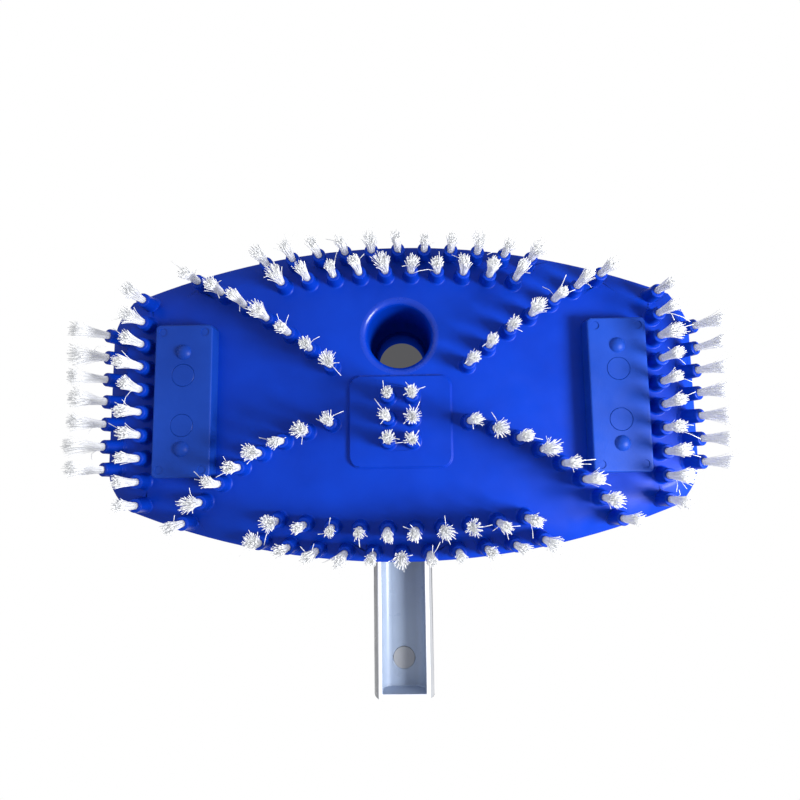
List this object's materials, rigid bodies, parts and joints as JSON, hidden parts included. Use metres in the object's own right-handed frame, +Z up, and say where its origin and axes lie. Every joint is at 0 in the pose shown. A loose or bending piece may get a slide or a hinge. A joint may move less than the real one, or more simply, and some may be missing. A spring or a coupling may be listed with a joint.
{
  "type": "pool vacuum brush",
  "caption": "Oval weighted pool vacuum brush with rows of nylon tufts, side brushes, a suction port with swivel hose spigot and a tilting pole handle.",
  "frame": {"origin": "on the surface under the bristle tips, at the middle of the whole footprint including the handle", "axes": "+X across the long way of the head, +Y towards the suction port side (the handle leaves towards -Y), +Z up out of the suction port's hose spigot"},
  "size_m": [0.3656, 0.2694, 0.134],
  "materials": {
    "head_plastic": "semi-gloss moulded polypropylene, royal blue",
    "bristle_nylon": "white nylon filament",
    "staple_steel": "plain wire",
    "cover_plastic": "satin moulded plastic, royal blue",
    "weight_iron": "bare cast bar",
    "stainless_steel": "turned stainless steel",
    "washer_nylon": "natural nylon",
    "handle_plastic": "light silver-grey moulded plastic",
    "button_plastic": "royal blue moulded plastic",
    "cap_plastic": "neutral grey moulded plastic",
    "seal_rubber": "black nitrile"
  },
  "bodies": {
    "head": {"base_plate": "head_plastic", "bristles_front_outer": "bristle_nylon", "bristles_front_inner": "bristle_nylon", "bristles_rear_inner": "bristle_nylon", "bristles_rear_outer": "bristle_nylon", "bristles_front_left": "bristle_nylon", "bristles_front_right": "bristle_nylon", "bristles_rear_left": "bristle_nylon", "bristles_rear_right": "bristle_nylon", "bristles_end_left": "bristle_nylon", "bristles_end_right": "bristle_nylon", "side_brush_left": "bristle_nylon", "side_brush_right": "bristle_nylon", "bristles_centre": "bristle_nylon", "tuft_staples": "staple_steel", "weight_cover_left": "cover_plastic", "weight_cover_right": "cover_plastic", "weight_bar_left": "weight_iron", "weight_bar_right": "weight_iron", "weight_rivets_left": "cover_plastic", "weight_rivets_right": "cover_plastic", "weight_plugs_left": "cover_plastic", "weight_plugs_right": "cover_plastic", "pivot_pin": "stainless_steel", "pivot_clip": "stainless_steel", "pivot_washers": "washer_nylon", "connector_seal": "seal_rubber"},
    "handle": {"handle": "handle_plastic", "lock_cap": "cap_plastic", "lock_spring": "stainless_steel"},
    "lock": {"lock_button": "button_plastic"},
    "connector": {"hose_connector": "head_plastic", "connector_ring": "stainless_steel"}
  },
  "joints": [
    {"name": "handle_tilt", "type": "hinge", "parent": "head", "child": "handle", "pos_m": [0, 0.02725, 0.06], "axis": [-1, 0, 0], "range_deg": [0, 90]},
    {"name": "lock_press", "type": "slide", "parent": "handle", "child": "lock", "axis": [0, 0, -1], "range_m": [0, 0.004], "stiffness_N_per_m": 400, "springref_m": -0.004, "deforming": ["lock_spring"]},
    {"name": "connector_swivel", "type": "hinge", "parent": "head", "child": "connector", "pos_m": [0, 0.07825, 0.072], "axis": [0, 0, 1], "continuous": true}
  ]
}
